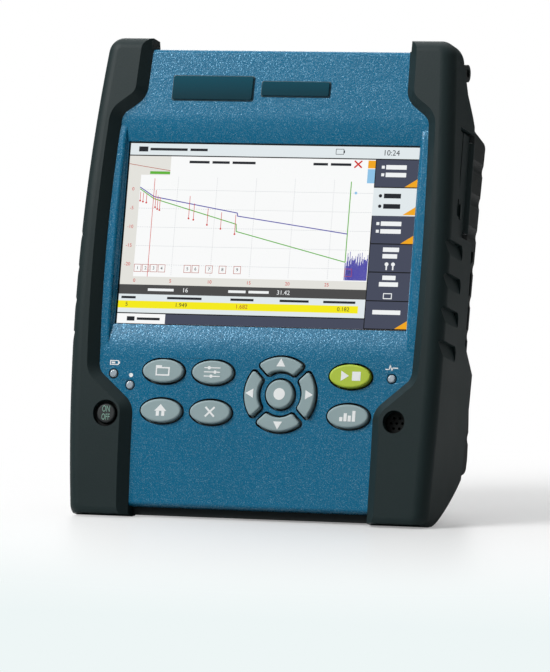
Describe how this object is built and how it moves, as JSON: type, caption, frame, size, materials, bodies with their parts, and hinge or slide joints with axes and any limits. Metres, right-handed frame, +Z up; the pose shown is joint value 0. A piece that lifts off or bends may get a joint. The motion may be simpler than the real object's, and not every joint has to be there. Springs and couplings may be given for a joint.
{
  "type": "optical time domain reflectometer",
  "caption": "Handheld fibre tester with a bowed blue front, colour screen, oval keys, arrow ring, rubber side bumpers, port doors, a rear module and a fold-out stand.",
  "frame": {"origin": "middle of the footprint, on the bench", "axes": "+Z up, -Y to the front, +X to the right seen from the front"},
  "size_m": [0.138, 0.0804, 0.1677],
  "materials": {
    "blue_paint": "metallic flake paint",
    "dark_rubber": "matt",
    "black_plastic": "fine grain",
    "screen_glass": "lit screen",
    "grey_key": "satin",
    "lime_key": "satin",
    "lens": "clear",
    "board": "solder mask",
    "steel": "bare",
    "aluminium": "machined",
    "green_plastic": "moulded",
    "ceramic": "ground"
  },
  "bodies": {
    "housing": {"front_cover": "blue_paint", "rear_cover": "black_plastic", "left_bumper": "dark_rubber", "right_bumper": "dark_rubber", "display_gasket": "dark_rubber", "display_window": "screen_glass", "display_panel": "screen_glass", "keypad_board": "board", "key_switches": "steel", "power_collar": "black_plastic", "speaker_grille": "black_plastic", "speaker": "black_plastic", "main_board": "board", "usb_sockets": "steel", "usb_tongues": "black_plastic", "dc_socket": "steel", "dc_pin": "steel", "strap_lugs": "black_plastic", "door_pins": "steel", "module_case": "black_plastic", "module_base": "black_plastic", "module_board": "board", "laser_block": "aluminium", "fibre_spool": "black_plastic", "optical_adapter": "green_plastic", "ferrule_sleeve": "ceramic", "module_screws": "steel", "battery_cover": "black_plastic", "battery_pack": "black_plastic", "battery_screws": "steel", "stand_pin": "steel", "charge_lamp": "lens", "on_lamp": "lens", "testing_lamp": "lens"},
    "file_key": {"file_key": "grey_key"},
    "setup_key": {"setup_key": "grey_key"},
    "home_key": {"home_key": "grey_key"},
    "cancel_key": {"cancel_key": "grey_key"},
    "start_key": {"start_key": "lime_key"},
    "results_key": {"results_key": "grey_key"},
    "right_key": {"right_key": "grey_key"},
    "up_key": {"up_key": "grey_key"},
    "left_key": {"left_key": "grey_key"},
    "down_key": {"down_key": "grey_key"},
    "enter_key": {"enter_key": "grey_key"},
    "power_key": {"power_key": "grey_key"},
    "right_door": {"right_door": "dark_rubber"},
    "left_door": {"left_door": "dark_rubber"},
    "stand": {"stand": "black_plastic", "stand_shoe": "dark_rubber"}
  },
  "joints": [
    {"name": "file_key_press", "type": "slide", "parent": "housing", "child": "file_key", "axis": [0, 0.9728, -0.2317], "range_m": [0, 0.0008], "stiffness_N_per_m": 500},
    {"name": "setup_key_press", "type": "slide", "parent": "housing", "child": "setup_key", "axis": [0, 0.9728, -0.2317], "range_m": [0, 0.0008], "stiffness_N_per_m": 500},
    {"name": "home_key_press", "type": "slide", "parent": "housing", "child": "home_key", "axis": [0, 0.9728, -0.2317], "range_m": [0, 0.0008], "stiffness_N_per_m": 500},
    {"name": "cancel_key_press", "type": "slide", "parent": "housing", "child": "cancel_key", "axis": [0, 0.9728, -0.2317], "range_m": [0, 0.0008], "stiffness_N_per_m": 500},
    {"name": "start_key_press", "type": "slide", "parent": "housing", "child": "start_key", "axis": [0, 0.9728, -0.2317], "range_m": [0, 0.0008], "stiffness_N_per_m": 500},
    {"name": "results_key_press", "type": "slide", "parent": "housing", "child": "results_key", "axis": [0, 0.9728, -0.2317], "range_m": [0, 0.0008], "stiffness_N_per_m": 500},
    {"name": "right_key_press", "type": "slide", "parent": "housing", "child": "right_key", "axis": [0, 0.9728, -0.2317], "range_m": [0, 0.0008], "stiffness_N_per_m": 500},
    {"name": "up_key_press", "type": "slide", "parent": "housing", "child": "up_key", "axis": [0, 0.9728, -0.2317], "range_m": [0, 0.0008], "stiffness_N_per_m": 500},
    {"name": "left_key_press", "type": "slide", "parent": "housing", "child": "left_key", "axis": [0, 0.9728, -0.2317], "range_m": [0, 0.0008], "stiffness_N_per_m": 500},
    {"name": "down_key_press", "type": "slide", "parent": "housing", "child": "down_key", "axis": [0, 0.9728, -0.2317], "range_m": [0, 0.0008], "stiffness_N_per_m": 500},
    {"name": "enter_key_press", "type": "slide", "parent": "housing", "child": "enter_key", "axis": [0, 0.9728, -0.2317], "range_m": [0, 0.0008], "stiffness_N_per_m": 500},
    {"name": "power_key_press", "type": "slide", "parent": "housing", "child": "power_key", "axis": [0, 0.9728, -0.2317], "range_m": [0, 0.0008], "stiffness_N_per_m": 500},
    {"name": "right_door_swing", "type": "hinge", "parent": "housing", "child": "right_door", "pos_m": [0.0654, 0.01039, 0.11537], "axis": [0, 0.2317, 0.9728], "range_deg": [0, 100]},
    {"name": "left_door_swing", "type": "hinge", "parent": "housing", "child": "left_door", "pos_m": [-0.0654, 0.01039, 0.11537], "axis": [0, -0.2317, -0.9728], "range_deg": [0, 100]},
    {"name": "stand_fold", "type": "hinge", "parent": "housing", "child": "stand", "pos_m": [0, 0.01722, 0.04307], "axis": [-1, 0, 0], "range_deg": [0, 44.19]}
  ]
}
